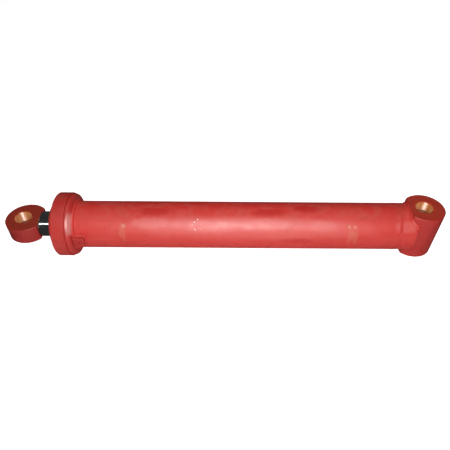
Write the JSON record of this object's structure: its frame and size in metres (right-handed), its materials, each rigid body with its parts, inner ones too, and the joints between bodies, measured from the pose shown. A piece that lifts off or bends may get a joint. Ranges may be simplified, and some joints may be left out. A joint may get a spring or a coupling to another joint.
{
  "type": "hydraulic cylinder",
  "caption": "Double-acting hydraulic cylinder with a flange-bolted head, a cross-tube base, a welded rod eye and bronze-bushed pin bores.",
  "frame": {"origin": "centre of the base pin bore, on the cylinder's axis", "axes": "+X along the cylinder from the base pin to the rod pin, the way the rod extends; +Z along both pin bores; the head port faces +Y; drawn fully retracted"},
  "size_m": [1.29, 0.19, 0.19],
  "materials": {
    "red_paint": "satin red primer, worn and dusty",
    "painted_weld": "satin red primer over weld bead",
    "painted_fastener": "satin red primer",
    "hard_chrome": "ground and polished hard chrome",
    "bronze": "turned bronze",
    "machined_steel": "turned steel, oiled",
    "zinc_plate": "zinc plated",
    "black_rubber": "smooth nitrile",
    "blue_polyurethane": "smooth polyurethane",
    "dark_guide_ring": "filled guide-ring material",
    "white_backup_ring": "white PTFE"
  },
  "bodies": {
    "barrel": {"barrel_tube": "red_paint", "base_bush_lower": "bronze", "base_bush_upper": "bronze", "base_cap": "red_paint", "base_eye": "red_paint", "base_grease_nipple": "zinc_plate", "base_port_boss": "red_paint", "base_port_plug": "painted_fastener", "gland": "red_paint", "gland_backup_ring": "white_backup_ring", "gland_o_ring": "black_rubber", "head_port_boss": "red_paint", "head_port_plug": "painted_fastener", "head_screws": "painted_fastener", "rod_buffer_seal": "blue_polyurethane", "rod_guide_inner": "dark_guide_ring", "rod_guide_middle": "dark_guide_ring", "rod_guide_outer": "dark_guide_ring", "rod_seal": "blue_polyurethane", "rod_seal_backup_ring": "white_backup_ring", "rod_wiper": "blue_polyurethane", "tube_flange": "red_paint", "weld_base_eye": "painted_weld", "weld_base_port": "painted_weld", "weld_cap_seam": "painted_weld", "weld_head_port": "painted_weld", "weld_tube_flange": "painted_weld"},
    "piston_rings": {"piston_seal": "dark_guide_ring", "piston_guide_rear": "dark_guide_ring", "piston_guide_front": "dark_guide_ring"},
    "rod": {"rod": "hard_chrome", "rod_eye": "red_paint", "weld_rod_eye": "painted_weld", "rod_bush": "bronze", "rod_grease_nipple": "zinc_plate", "piston": "machined_steel", "piston_nut": "machined_steel", "nut_lock_screw": "machined_steel", "piston_static_o_ring": "black_rubber"}
  },
  "joints": [
    {"name": "rod_slide", "type": "slide", "parent": "barrel", "child": "piston_rings", "axis": [1, 0, 0], "range_m": [0, 0.735]},
    {"name": "rod_turn", "type": "hinge", "parent": "piston_rings", "child": "rod", "pos_m": [0.163, 0, 0], "axis": [1, 0, 0], "continuous": true}
  ]
}
